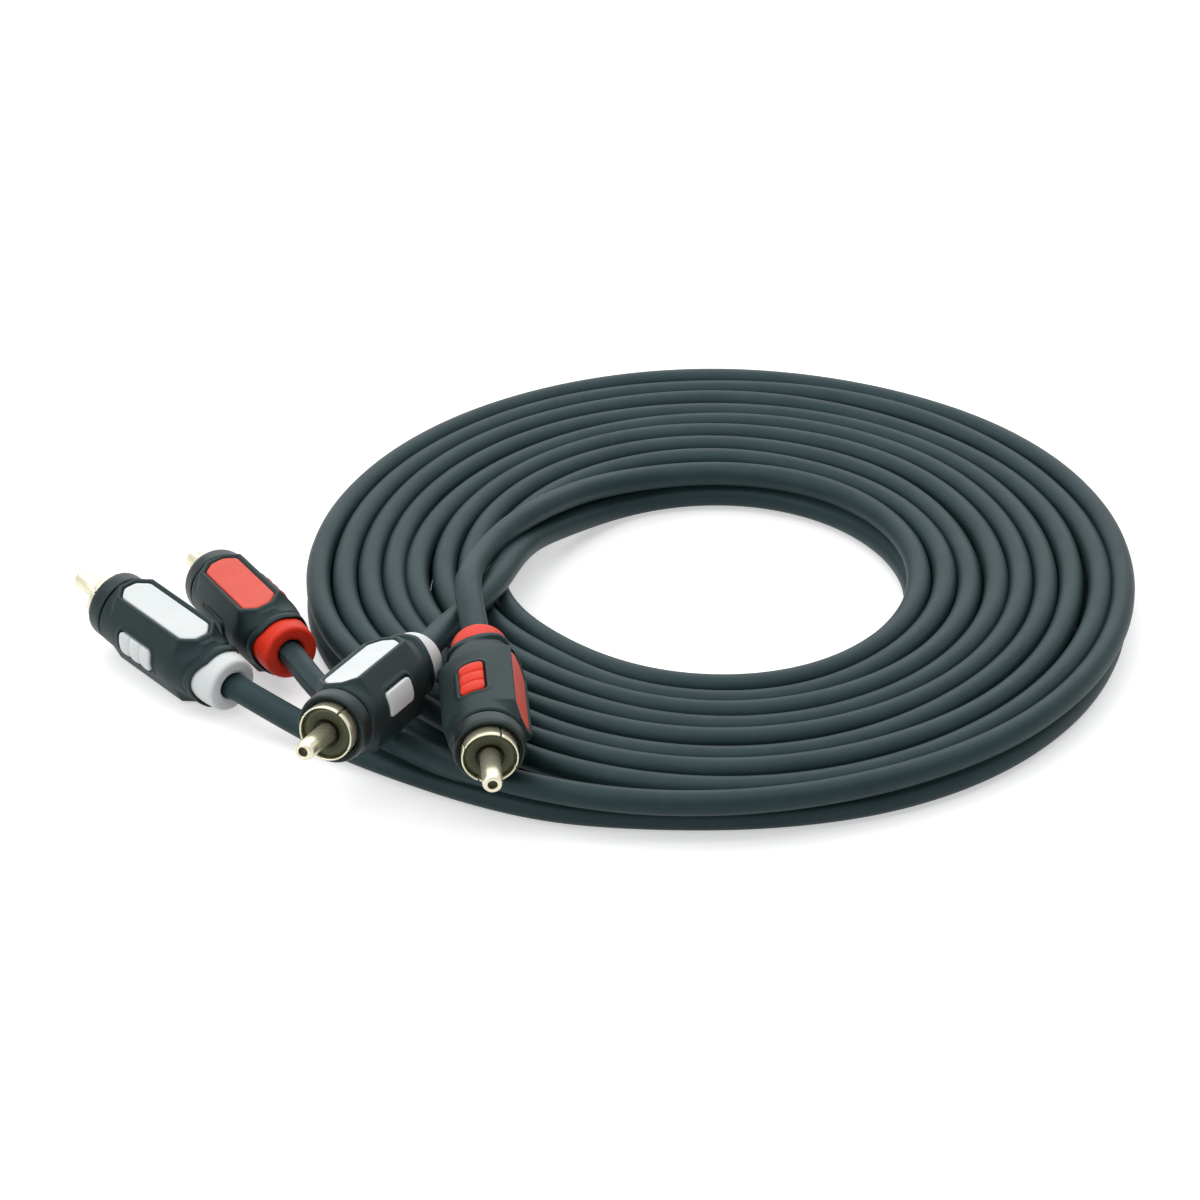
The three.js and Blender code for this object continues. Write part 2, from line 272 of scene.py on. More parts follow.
def route(colour):
    """A wire's whole way, from its left plug through the coil to its front plug."""
    lead_in = [Vector(p) - HOME for p in ROUTES[f"{colour}_lead_in"]]
    lead_out = [Vector(p) - HOME for p in reversed(ROUTES[f"{colour}_lead_out"])]
    end = reversed(collar_points(f"front_{colour}"))
    return [*collar_points(f"left_{colour}"), *lead_in, *wound(COILS[colour]), *lead_out, *end]


def new_piece(name, mesh):
    obj = bpy.data.objects.new(name, mesh)
    bpy.context.collection.objects.link(obj)
    return obj


def smooth_faces(data):
    """Shades all faces smooth but the caps, which have more than four corners."""
    for face in data.polygons:
        face.use_smooth = len(face.vertices) <= 4


def grid_mesh(name, rows, closed_round=True, caps=True):
    """A mesh through rows of points in millimetres, each a ring when it is closed round."""
    mesh = bmesh.new()
    made = [[mesh.verts.new([MM * c for c in point]) for point in row] for row in rows]
    for a, b in zip(made, made[1:]):
        count = len(a) if closed_round else len(a) - 1
        for k in range(count):
            n = (k + 1) % len(a)
            mesh.faces.new((a[k], a[n], b[n], b[k]))
    if caps:
        mesh.faces.new(list(reversed(made[0])))
        mesh.faces.new(made[-1])
    bmesh.ops.recalc_face_normals(mesh, faces=mesh.faces)
    data = bpy.data.meshes.new(name)
    mesh.to_mesh(data)
    mesh.free()
    smooth_faces(data)
    return data


def fin_direction(colour, from_start, to_end):
    """The fin's direction round the wire, in degrees, at these distances from the wire's two ends."""
    at_start, in_coil, at_end = FINS[colour]
    fin = in_coil
    fin += (at_start - in_coil) * (1 - smooth_step((from_start - FIN_START_KEPT) / FIN_START_TURN))
    fin += (at_end - in_coil) * (1 - smooth_step((to_end - FIN_END_KEPT) / FIN_END_TURN))
    return fin


def wire(name, colour):
    """A jacketed wire and its line: a round tube with the thin fin that the split web leaves on its side."""
    line = evenly(route(colour), RING_STEP)
    tangent = np.gradient(line, axis=0)
    tangent /= np.linalg.norm(tangent, axis=1)[:, None]
    side = np.cross(tangent, [0, 0, 1])
    side /= np.linalg.norm(side, axis=1)[:, None]
    up = np.cross(side, tangent)
    rings = []
    last = len(line) - 1
    beside_fin = {1: FIN_LEAN, TUBE_SIDES - 1: -FIN_LEAN}
    for i, centre in enumerate(line):
        fin = fin_direction(colour, i * RING_STEP, (last - i) * RING_STEP)
        ring = []
        for k in range(TUBE_SIDES):
            angle = math.radians(fin + beside_fin.get(k, 360 * k / TUBE_SIDES))
            radius = JACKET_D / 2
            if k == 0:
                radius += FIN_HEIGHT
            out = math.cos(angle) * up[i] + math.sin(angle) * side[i]
            ring.append(centre + radius * out)
        rings.append(ring)
    return new_piece(name, grid_mesh(name, rings)), line * MM


red_wire, red_line = wire("red_wire", "red")
white_wire, white_line = wire("white_wire", "white")


def displayed(red, green, blue):
    """A linear colour from 0–255 display values."""
    out = []
    for v in (red, green, blue):
        v /= 255
        out.append(v / 12.92 if v <= 0.04045 else ((v + 0.055) / 1.055) ** 2.4)
    return (*out, 1)


class Look:
    """A material's node tree, written down node by node."""

    def __init__(self, name):
        self.material = bpy.data.materials.new(name)
        self.material.use_nodes = True
        self.nodes = self.material.node_tree.nodes
        self.links = self.material.node_tree.links
        self.surface = self.nodes["Principled BSDF"]
        self.place = self.add("ShaderNodeTexCoord").outputs["Object"]

    def add(self, kind, **values):
        node = self.nodes.new(kind)
        for key, value in values.items():
            setattr(node, key, value)
        return node

    def noise(self, scale, detail, roughness=0.6, squeeze=None):
        place = self.place
        if squeeze:
            mapping = self.add("ShaderNodeMapping")
            mapping.inputs["Scale"].default_value = squeeze
            self.links.new(place, mapping.inputs["Vector"])
            place = mapping.outputs["Vector"]
        node = self.add("ShaderNodeTexNoise")
        node.inputs["Scale"].default_value = scale
        node.inputs["Detail"].default_value = detail
        node.inputs["Roughness"].default_value = roughness
        self.links.new(place, node.inputs["Vector"])
        return node.outputs["Fac"]

    def ramp(self, source, *stops):
        node = self.add("ShaderNodeValToRGB")
        ramp = node.color_ramp
        while len(ramp.elements) < len(stops):
            ramp.elements.new(0.5)
        for element, (at, colour) in zip(ramp.elements, stops):
            element.position = at
            element.color = colour
        self.links.new(source, node.inputs["Fac"])
        return node.outputs["Color"]

    def between(self, source, low, high):
        node = self.add("ShaderNodeMapRange")
        node.inputs["To Min"].default_value = low
        node.inputs["To Max"].default_value = high
        self.links.new(source, node.inputs["Value"])
        return node.outputs["Result"]

    def bump(self, height, strength, distance):
        node = self.add("ShaderNodeBump")
        node.inputs["Strength"].default_value = strength
        node.inputs["Distance"].default_value = distance
        self.links.new(height, node.inputs["Height"])
        self.links.new(node.outputs["Normal"], self.surface.inputs["Normal"])

    def set(self, **values):
        """Sets the surface's inputs, whose names have an underscore for each space, to values or sockets."""
        for key, value in values.items():
            socket = self.surface.inputs[key.replace("_", " ")]
            if isinstance(value, bpy.types.NodeSocket):
                self.links.new(value, socket)
            else:
                socket.default_value = value


# Noise patterns of the materials: scale, detail and roughness, and in metals how much denser they are up
# and down; bumps are a strength and a depth in metres
PLASTIC_TONE = (90, 5, 0.65)
PLASTIC_SHEEN = (420, 6, 0.7)
PLASTIC_GRAIN = (3, 0.5)
PLASTIC_BUMP = 0.25
METAL_TONE = (160, 5, 0.6)
METAL_SHEEN = (700, 6, 0.7, (1, 1, 6))
METAL_GRAIN = (1900, 4, 0.6, (1, 1, 4))
METAL_BUMP = (0.04, 0.00001)
DISC_TONE = (300, 5, 0.6)
DISC_UNEVEN = 0.25
DISC_SHEEN = (900, 4, 0.6)
DISC_ROUGH = (0.28, 0.36)
DISC_GRAIN = (2200, 3, 0.5)
DISC_BUMP = (0.1, 0.000006)
DISC_BRUSHED = 0.85
# Dark plastics mirror the white room with a cool tint
DARK_BELOW = 0.1
COOL_SHEEN = (0.68, 0.94, 1, 1)
SCATTER_REACH = (0.9, 0.6, 0.45)
SCATTER_SCALE = 0.0006
METALLIC = 0.7


def plastic(name, dark, light, rough, grain, grain_depth=0.00002, specular=0.35, scatter=0.0):
    """Moulded plastic between two display colours, with a fine grain and, where asked, scattered light."""
    dark, light = displayed(*dark), displayed(*light)
    look = Look(name)
    look.set(Base_Color=look.ramp(look.noise(*PLASTIC_TONE), (0.3, dark), (0.7, light)))
    look.set(Roughness=look.between(look.noise(*PLASTIC_SHEEN), *rough))
    look.set(Specular_IOR_Level=specular)
    if max(light[:3]) < DARK_BELOW:
        look.set(Specular_Tint=COOL_SHEEN)
    if scatter:
        look.set(Subsurface_Weight=scatter, Subsurface_Radius=SCATTER_REACH, Subsurface_Scale=SCATTER_SCALE)
    look.bump(look.noise(grain, *PLASTIC_GRAIN), PLASTIC_BUMP, grain_depth)
    return look.material


def metal(name, dark, light, rough):
    """Plated metal between two display colours, with a faint grain."""
    look = Look(name)
    tone = look.noise(*METAL_TONE)
    look.set(Base_Color=look.ramp(tone, (0.25, displayed(*dark)), (0.75, displayed(*light))))
    look.set(Roughness=look.between(look.noise(*METAL_SHEEN), *rough))
    look.set(Metallic=METALLIC)
    look.bump(look.noise(*METAL_GRAIN), *METAL_BUMP)
    return look.material


def disc_face(name, dark, light, reach):
    """The turned olive face in a plug's mouth: lighter towards its rim, with a grain round its own axis."""
    look = Look(name)
    flat = look.add("ShaderNodeVectorMath", operation="MULTIPLY")
    look.links.new(look.place, flat.inputs[0])
    flat.inputs[1].default_value = (0, 1, 1)
    length = look.add("ShaderNodeVectorMath", operation="LENGTH")
    look.links.new(flat.outputs["Vector"], length.inputs[0])
    outward = look.add("ShaderNodeMath", operation="DIVIDE")
    look.links.new(length.outputs["Value"], outward.inputs[0])
    outward.inputs[1].default_value = reach * MM
    uneven = look.add("ShaderNodeMath", operation="MULTIPLY_ADD")
    look.links.new(look.noise(*DISC_TONE), uneven.inputs[0])
    uneven.inputs[1].default_value = DISC_UNEVEN
    look.links.new(outward.outputs["Value"], uneven.inputs[2])
    tone = uneven.outputs["Value"]
    look.set(Base_Color=look.ramp(tone, (0.5, displayed(*dark)), (1, displayed(*light))))
    look.set(Roughness=look.between(look.noise(*DISC_SHEEN), *DISC_ROUGH))
    look.set(Metallic=METALLIC, Anisotropic=DISC_BRUSHED)
    tangent = look.add("ShaderNodeTangent", direction_type="RADIAL", axis="X")
    look.set(Tangent=tangent.outputs["Tangent"])
    look.bump(look.noise(*DISC_GRAIN), *DISC_BUMP)
    return look.material


# The plugs' own measures, in millimetres: stations are counted back from the nose ring's front face
PIN_D = 3.2
PIN_OUT = 9.6
PIN_ROOT = 6
PIN_TIP = 0.8
PIN_TIP_ROUND = 0.6
PIN_TIP_STEPS = 8
PIN_SIDES = 64
PIN_HOLE_D = 1.55
PIN_HOLE_FRONT = 0.02
PIN_HOLE_RIM = 0.12
PIN_HOLE_DEPTH = 0.6
PIN_HOLE_EDGE = 0.06
PIN_HOLE_TAPER = 0.05
PIN_HOLE_SLACK = 0.01
SLEEVE_OD = 9
SLEEVE_WALL = 0.28
SLEEVE_R = SLEEVE_OD / 2
SLEEVE_INNER_R = SLEEVE_R - SLEEVE_WALL
SLEEVE_OUT = 1.9
SLEEVE_BACK = 12
SLEEVE_SLOTS = 4
SLEEVE_SIDES = 96
PETAL_STEPS = 30
LIP_STEPS = 6
SLOT_WIDTH = 0.35
SLOT_END = 2.6
INSULATOR_FRONT = -1.5
INSULATOR_BACK = 8
INSULATOR_GAP = 0.02
NOSE_BACK_D = 11.6
NOSE_LENGTH = 3
NOSE_BORE_R = SLEEVE_R + 0.12
NOSE_ROUND = 0.22
BOOT_FRONT = 3.3
BOOT_D = 12
BOOT_R = BOOT_D / 2
BOOT_BACK = 28.3
BOOT_BORE_R = 4.6
BORE_FRONT = 1
BORE_REAR = 0.6
BOOT_AROUND = 224
BOOT_ALONG = 148
SADDLE_BACK = 26.5
SADDLE_R = 8.2
PLATEAU_HEIGHT = 6.15
PLATEAU_WIDTH = 8
PLATEAU_FRONT = 3.6
PLATEAU_BACK = 24.7
PLATEAU_MIDDLE = (PLATEAU_FRONT + PLATEAU_BACK) / 2
PLATEAU_RUN_OUT = 1.2
PLATEAU_TURN = 0.2
CORNER = 2.4
CORNER_LOSS = 0.6
RIM = 1.05
RIM_STEP = 0.38
RIM_RISE = 0.34
INLAY_SUNK = 0.12
INLAY_CORNER = 0.55
INLAY_CORNER_STEPS = 6
COLLAR_D = 9.4
COLLAR_MOUTH_D = 4.35
COLLAR_MOUTH_DEPTH = 4
COLLAR_ROUND = 0.8
PAD_FRONT = 9
PAD_BACK = 17.2
PAD_MIDDLE = (PAD_FRONT + PAD_BACK) / 2
PAD_REACH = (PAD_BACK - PAD_FRONT) / 2
PAD_WIDTH = 4.2
PAD_CORNER = 0.9
PAD_TURN = 0.6
PAD_PROUD = 0.35
PAD_OVERLAP = 0.25
PAD_ALONG = 84
PAD_ACROSS = 44
PAD_GROOVE = 0.34
PAD_GROOVE_WIDTH = 0.17
PAD_WAVE = 0.06
LATHE_SIDES = 96
ROUNDED_SHARE = 0.48

# Details of the boot and the pads, as the last arguments of taper, step and ridge, which is a groove where
# it is negative. They are counted back along the boot, inward from the outline of the plateau or the pad,
# and at the rear lip forward from the rear edge
FRONT_TAPER = (0.1, 0, 4.5)
FRONT_EDGE = (0.3, 0, 0.35)
REAR_STEP = (-0.75, 20.5, 6)
INLAY_WINDOW = (-1.2, -0.3, 0.22)
PAD_WINDOW = (-0.9, -0.26, 0.16)
PAD_SWELL = (0.16, -1.1, 0.5, -0.3, 0.1)
PAD_SIDE = (1.6, -0.12, 0.22)
PAD_EDGE = (0.14, 0, 0.5)
BLIND_PAD = (0.3, -0.2, 0.4)
BLIND_GROOVE = (-0.18, -0.5, 0.2, -0.15, 0.2)
REAR_LIP = (0.2, -0.1, 0.5, 1.1, 0.45)
REAR_GROOVE = (-0.28, 1.05, 0.3, 1.8, 0.5)
REAR_LIP_SPREAD = 1.6
# Rounded edges, as pairs of how far on and how far down
REAR_EDGE = ((0.1, 0.75), (0.16, 0.85), (0.12, 1))
INLAY_EDGE = ((0, 1.6), (0, 0.3), (0.05, 0.14), (0.14, 0.05), (0.28, 0.01), (0.5, 0))

PLASTICS = {
    "jacket": dict(
        dark=(28, 42, 44), light=(38, 54, 57), rough=(0.45, 0.57), grain=1500, grain_depth=0.00004,
        specular=0.3,
    ),
    "boot": dict(dark=(19, 30, 30), light=(26, 38, 38), rough=(0.46, 0.58), grain=3200, specular=0.3),
    "nose": dict(
        dark=(22, 27, 25), light=(27, 32, 29), rough=(0.34, 0.42), grain=2400, grain_depth=0.000004,
    ),
    # The red panels' own red, painted lighter and paler than the red moulding's as a painted sheen on the
    # plateaus
    "red_panel": dict(
        dark=(222, 80, 64), light=(232, 94, 78), rough=(0.5, 0.62), grain=2600, specular=0.4, scatter=0.1,
    ),
    "white_moulding": dict(
        dark=(231, 237, 237), light=(240, 243, 242), rough=(0.4, 0.52), grain=2200, grain_depth=0.000015,
        specular=0.25, scatter=0.2,
    ),
    "red_moulding": dict(
        dark=(228, 50, 26), light=(238, 60, 34), rough=(0.4, 0.52), grain=2200, grain_depth=0.000015,
        specular=0.25, scatter=0.15,
    ),
    # The inside of the pin's shallow hole: a dark olive painted shade that stands in for a deep hollow
    "hole": dict(dark=(74, 69, 46), light=(92, 86, 60), rough=(0.5, 0.6), grain=1800),
    "insulation": dict(dark=(170, 172, 168), light=(190, 192, 188), rough=(0.4, 0.6), grain=1800),
}
SURFACES = {name: plastic(name, **look) for name, look in PLASTICS.items()}
SURFACES["plating"] = metal("plating", (214, 209, 180), (234, 230, 205), (0.2, 0.3))
SURFACES["insulator"] = disc_face("insulator", (30, 32, 18), (70, 74, 54), SLEEVE_R)

for obj in list(bpy.data.objects):
    if obj.type != "MESH" or obj.name in (red_wire.name, white_wire.name):
        continue
    for slot in obj.material_slots:
        key = slot.material.name.split(".")[0] if slot.material else "jacket"
        slot.material = SURFACES.get(key, SURFACES["jacket"])
for obj in (red_wire, white_wire):
    obj.data.materials.append(SURFACES["jacket"])


def placed(plug):
    """A plug's place in the part, in metres."""
    place = plug_matrix(plug)
    return Matrix.Translation(place.translation * MM) @ place.to_3x3().to_4x4()


def lathe(name, profile, sides=LATHE_SIDES):
    """A turned piece on the plug's axis, from stations and radii."""
    rows = []
    for station, radius in profile:
        row = []
        for k in range(sides):
            angle = 2 * math.pi * k / sides
            row.append((-station, radius * math.cos(angle), radius * math.sin(angle)))
        rows.append(row)
    return grid_mesh(name, rows)


def corner_points(before, at, after, back, on, count):
    """Points on the curve that rounds a corner off, from one distance before it to another after it."""
    start = at + (before - at).normalized() * back
    end = at + (after - at).normalized() * on
    points = []
    for i in range(count + 1):
        t = i / count
        points.append((1 - t) ** 2 * start + 2 * t * (1 - t) * at + t**2 * end)
    return points


def rounded(profile, size, count=5):
    """The profile with its corners rounded off by a size, but by no more than a share of a side."""
    corners = [Vector(corner) for corner in profile]
    out = [profile[0]]
    for before, at, after in zip(corners, corners[1:], corners[2:]):
        back = min(size, (before - at).length * ROUNDED_SHARE)
        on = min(size, (after - at).length * ROUNDED_SHARE)
        out += [tuple(point) for point in corner_points(before, at, after, back, on, count)]
    out.append(profile[-1])
    return out


def octagon_depth(across, station, inset):
    """How far a point on the plateau lies inside its outline, which is drawn in by the inset."""
    half = PLATEAU_WIDTH / 2 - inset
    front = PLATEAU_FRONT + inset - station
    back = station - PLATEAU_BACK + inset
    side = abs(across) - half
    reach = (PLATEAU_BACK - PLATEAU_FRONT) / 2 - inset
    cut = CORNER - CORNER_LOSS * inset
    corner = (abs(across) + abs(station - PLATEAU_MIDDLE) - (half + reach - cut)) / math.sqrt(2)
    return -max(front, back, side, corner)


def plateau_half(station):
    """The half width of the plateau's body, cut at its corners and run out a little past its ends."""
    from_end = min(station - PLATEAU_FRONT, PLATEAU_BACK - station)
    if from_end < -PLATEAU_RUN_OUT:
        return 0
    return min(PLATEAU_WIDTH / 2, PLATEAU_WIDTH / 2 - CORNER + from_end)


def saddle_end(angle):
    """The station where the boot ends, further back at its plateaus than at its flanks."""
    high = BOOT_R * math.cos(angle)
    return min(BOOT_BACK, SADDLE_BACK + SADDLE_R - math.sqrt(SADDLE_R**2 - high**2))


def pad_depth(across, station):
    """How far a point on a flank lies inside the pad's outline."""
    dx = abs(across) - (PAD_WIDTH / 2 - PAD_CORNER)
    dy = abs(station - PAD_MIDDLE) - (PAD_REACH - PAD_CORNER)
    outside = math.hypot(max(dx, 0), max(dy, 0)) + min(max(dx, dy), 0)
    return PAD_CORNER - outside


def taper(at, amount, start, length):
    """An amount that is lost from a start on, over a length."""
    return amount * (1 - smooth_step((at - start) / length))


def step(at, height, start, length):
    """A height that is reached from a start on, over a length."""
    return height * smooth_step((at - start) / length)


def ridge(at, height, start, rise, end, fall):
    """A height that is reached from a start on and lost from an end on."""
    return height * smooth_step((at - start) / rise) * (1 - smooth_step((at - end) / fall))


def plateau_radius(angle, station, radius):
    """The boot's radius with its plateau, in which the window for the coloured panel is sunk."""
    up = abs(math.cos(angle))
    edge = plateau_half(station)
    if edge == 0 or up <= PLATEAU_TURN:
        return radius
    turned = math.acos(up)
    rim = PLATEAU_HEIGHT - RIM_STEP
    shoulder = Vector((edge, rim)).length
    if shoulder > radius:
        lean = math.atan2(edge, rim)
        touch = lean + math.acos(radius / shoulder)
        if lean < turned < touch:
            radius = radius / math.cos(touch - turned)
        elif turned <= lean:
            radius = rim / up
    across = PLATEAU_HEIGHT * math.tan(turned)
    rise = smooth_step(octagon_depth(across, station, 0) / RIM_RISE + 0.5)
    radius += max(0, PLATEAU_HEIGHT / up - radius) * rise
    return radius + step(octagon_depth(across, station, RIM), *INLAY_WINDOW) / up


def flank_radius(angle, station, radius, plug):
    """The boot's radius with the window for a pad, or with a pad's raised shape where it has no colour."""
    depth = pad_depth(BOOT_R * math.cos(angle), station)
    side = 1 if math.sin(angle) < 0 else -1
    if plug.get("blind") == side:
        return radius + step(depth, *BLIND_PAD) + ridge(depth, *BLIND_GROOVE)
    return radius + step(depth, *PAD_WINDOW) + ridge(depth, *PAD_SWELL)


def boot_radius(angle, station, plug):
    """The boot's outer radius; the angle is counted from the plateau's own direction."""
    from_front = station - BOOT_FRONT
    radius = BOOT_R - taper(from_front, *FRONT_TAPER) - taper(from_front, *FRONT_EDGE)
    radius += step(station, *REAR_STEP)
    radius = plateau_radius(angle, station, radius)
    if abs(math.cos(angle)) < PAD_TURN:
        radius = flank_radius(angle, station, radius, plug)
    to_end = saddle_end(angle) - station
    lip = min(1, abs(math.cos(angle)) * REAR_LIP_SPREAD)
    return radius + lip * (ridge(to_end, *REAR_LIP) + ridge(to_end, *REAR_GROOVE))


def boot_mesh(name, plug):
    """The boot's shell: in at its front, over its outside and round its rear edge into the bore."""
    angles = [2 * math.pi * (k + 0.5) / BOOT_AROUND for k in range(BOOT_AROUND)]
    ends = [saddle_end(angle) for angle in angles]

    def point(angle, station, radius):
        return (-station, -radius * math.sin(angle), radius * math.cos(angle))

    def outside(angle, end, share):
        station = BOOT_FRONT + share * (end - BOOT_FRONT)
        return point(angle, station, boot_radius(angle, station, plug))

    rows = []
    for station in (BOOT_FRONT + BORE_FRONT, BOOT_FRONT):
        rows.append([point(angle, station, BOOT_BORE_R) for angle in angles])
    for i in range(BOOT_ALONG + 1):
        rows.append([outside(angle, end, i / BOOT_ALONG) for angle, end in zip(angles, ends)])
    for back, drop in REAR_EDGE:
        rows.append([point(angle, end + back, BOOT_R - drop) for angle, end in zip(angles, ends)])
    rows.append([point(angle, end - BORE_REAR, BOOT_BORE_R) for angle, end in zip(angles, ends)])
    data = grid_mesh(name, rows, caps=False)
    mesh = bmesh.new()
    mesh.from_mesh(data)
    bmesh.ops.bridge_loops(mesh, edges=[edge for edge in mesh.edges if edge.is_boundary])
    bmesh.ops.recalc_face_normals(mesh, faces=mesh.faces)
    mesh.to_mesh(data)
    mesh.free()
    smooth_faces(data)
    return data


def inlay_mesh(name, side):
    """The flat coloured panel in a plateau, with its corners and its edge rounded."""
    half = PLATEAU_WIDTH / 2 - RIM
    front, back = PLATEAU_FRONT + RIM, PLATEAU_BACK - RIM
    cut = CORNER - CORNER_LOSS * RIM
    corners = [
        (front, -half + cut), (front, half - cut), (front + cut, half), (back - cut, half),
        (back, half - cut), (back, -half + cut), (back - cut, -half), (front + cut, -half),
    ]
    outline = []
    count = len(corners)
    for i in range(count):
        before, at, after = (Vector(corners[(i + k) % count]) for k in (-1, 0, 1))
        outline += corner_points(before, at, after, INLAY_CORNER, INLAY_CORNER, INLAY_CORNER_STEPS)
    middle = Vector((PLATEAU_MIDDLE, 0))
    top = PLATEAU_HEIGHT - INLAY_SUNK
    rows = []
    for inward, drop in INLAY_EDGE:
        row = []
        for point in outline:
            away = point - middle
            pulled = Vector((away.x * (1 - inward / (back - middle.x)), away.y * (1 - inward / half)))
            station, across = pulled + middle
            row.append((-station, side * across, side * (top - drop)))
        rows.append(row)
    return grid_mesh(name, rows)


def rib_height(from_middle):
    """How much two grooves take from a ribbed pad and its three ribs add."""
    height = PAD_WAVE * math.cos(3 * math.pi * from_middle / PAD_REACH)
    for groove in (-1, 1):
        off = from_middle - groove * PAD_REACH / 3
        height -= PAD_GROOVE * math.exp(-((off / PAD_GROOVE_WIDTH) ** 2))
    return height


def pad_mesh(name, side, ribbed):
    """The coloured thumb pad in a flank: slightly proud, round-cornered and, where asked, ribbed."""
    rows = []
    for i in range(PAD_ALONG + 1):
        row = []
        for j in range(PAD_ACROSS + 1):
            from_middle = (PAD_REACH + PAD_OVERLAP) * (2 * i / PAD_ALONG - 1)
            across = (PAD_WIDTH / 2 + PAD_OVERLAP) * (2 * j / PAD_ACROSS - 1)
            station = PAD_MIDDLE + from_middle
            depth = pad_depth(across, station)
            radius = BOOT_R + PAD_PROUD - taper(depth, *PAD_SIDE) - taper(depth, *PAD_EDGE)
            if ribbed:
                radius += rib_height(from_middle)
            angle = across / BOOT_R
            row.append((-station, side * radius * math.cos(angle), radius * math.sin(angle)))
        rows.append(row)
    return grid_mesh(name, rows, closed_round=False, caps=False)


def sleeve_mesh(name):
    """The slotted outer contact: a thin shell in four petals that join behind the nose."""
    mesh = bmesh.new()

    def section_at(angle, section):
        across, up = math.cos(angle), math.sin(angle)
        return [mesh.verts.new([MM * -s, MM * r * across, MM * r * up]) for s, r in section]

    def join(a, b):
        for k in range(len(a)):
            n = (k + 1) % len(a)
            mesh.faces.new((a[k], a[n], b[n], b[k]))

    lip = SLEEVE_WALL / 2
    petal = [(SLOT_END, SLEEVE_R)]
    for i in range(LIP_STEPS + 1):
        angle = math.pi * i / LIP_STEPS
        petal.append((-SLEEVE_OUT + lip - lip * math.sin(angle), SLEEVE_R - lip + lip * math.cos(angle)))
    petal.append((SLOT_END, SLEEVE_INNER_R))
    slot_half = SLOT_WIDTH / 2 / SLEEVE_R
    for number in range(SLEEVE_SLOTS):
        start = 2 * math.pi * (number + 0.5) / SLEEVE_SLOTS + slot_half
        stop = 2 * math.pi * (number + 1.5) / SLEEVE_SLOTS - slot_half
        angles = [start + (stop - start) * k / PETAL_STEPS for k in range(PETAL_STEPS + 1)]
        sections = [section_at(angle, petal) for angle in angles]
        for a, b in zip(sections, sections[1:]):
            join(a, b)
        mesh.faces.new(list(reversed(sections[0])))
        mesh.faces.new(sections[-1])
    root = [(station, SLEEVE_R) for station in (SLOT_END, SLEEVE_BACK)]
    root += [(station, SLEEVE_INNER_R) for station in (SLEEVE_BACK, SLOT_END)]
    sections = [section_at(2 * math.pi * k / SLEEVE_SIDES, root) for k in range(SLEEVE_SIDES)]
    for a, b in zip(sections, sections[1:] + sections[:1]):
        join(a, b)
    bmesh.ops.recalc_face_normals(mesh, faces=mesh.faces)
    data = bpy.data.meshes.new(name)
    mesh.to_mesh(data)
    mesh.free()
    for face in data.polygons:
        face.use_smooth = True
    return data


def pin_mesh(name):
    """The centre pin: a rounded tip with a shallow hole, whose inside has a material of its own: a dark
    painted shade of a deep hollow.
    """
    radius = PIN_D / 2
    hole = PIN_HOLE_D / 2
    profile = [(PIN_ROOT, radius), (-PIN_OUT + PIN_TIP, radius)]
    for i in range(1, PIN_TIP_STEPS + 1):
        angle = math.pi / 2 * i / PIN_TIP_STEPS
        station = -PIN_OUT + PIN_TIP - (PIN_TIP - PIN_HOLE_FRONT) * math.sin(angle)
        profile.append((station, radius - PIN_TIP_ROUND + PIN_TIP_ROUND * math.cos(angle)))
    profile += [
        (-PIN_OUT + PIN_HOLE_FRONT, hole + PIN_HOLE_EDGE), (-PIN_OUT + PIN_HOLE_RIM, hole),
        (-PIN_OUT + PIN_HOLE_DEPTH, hole - PIN_HOLE_TAPER),
    ]
    data = lathe(name, profile, PIN_SIDES)
    data.materials.append(SURFACES["plating"])
    # the inside of the hole gets the dark painted shade
    data.materials.append(SURFACES["hole"])
    for face in data.polygons:
        middle = face.center
        off_axis = math.hypot(middle.y, middle.z)
        deep = middle.x > (PIN_OUT - PIN_HOLE_DEPTH - PIN_HOLE_SLACK) * MM
        if deep and off_axis < (hole + PIN_HOLE_SLACK) * MM:
            face.material_index = 1
    return data


def nose_profile():
    back = NOSE_BACK_D / 2
    return rounded(
        [
            (NOSE_LENGTH + 0.6, NOSE_BORE_R), (0.35, NOSE_BORE_R), (0.25, NOSE_BORE_R + 0.35),
            (0.0, NOSE_BORE_R + 0.6), (0.0, NOSE_BORE_R + 0.95), (0.7, back - 0.04),
            (NOSE_LENGTH - 0.25, back), (NOSE_LENGTH, back - 0.25), (NOSE_LENGTH, back - 0.75),
            (NOSE_LENGTH + 0.6, back - 0.75),
        ],
        NOSE_ROUND,
    )


def insulator_profile():
    rim = SLEEVE_INNER_R - INSULATOR_GAP
    face = [(0.1, rim), (0.04, 3.2), (0, 2.35), (0.05, 2.25), (0.22, 2.1), (0.3, 1.62)]
    return [(INSULATOR_BACK, rim), *[(INSULATOR_FRONT + back, radius) for back, radius in face]]


def collar_profile():
    mouth = COLLAR_MOUTH_D / 2
    return rounded(
        [
            (21, 4.65), (24, 4.7), (26.4, 4.8), (28.5, 4.8), (COLLAR_BACK, COLLAR_D / 2 - 0.15),
            (COLLAR_BACK, mouth + 0.25), (COLLAR_BACK - 0.6, mouth),
            (COLLAR_BACK - COLLAR_MOUTH_DEPTH, mouth),
        ],
        COLLAR_ROUND,
        7,
    )


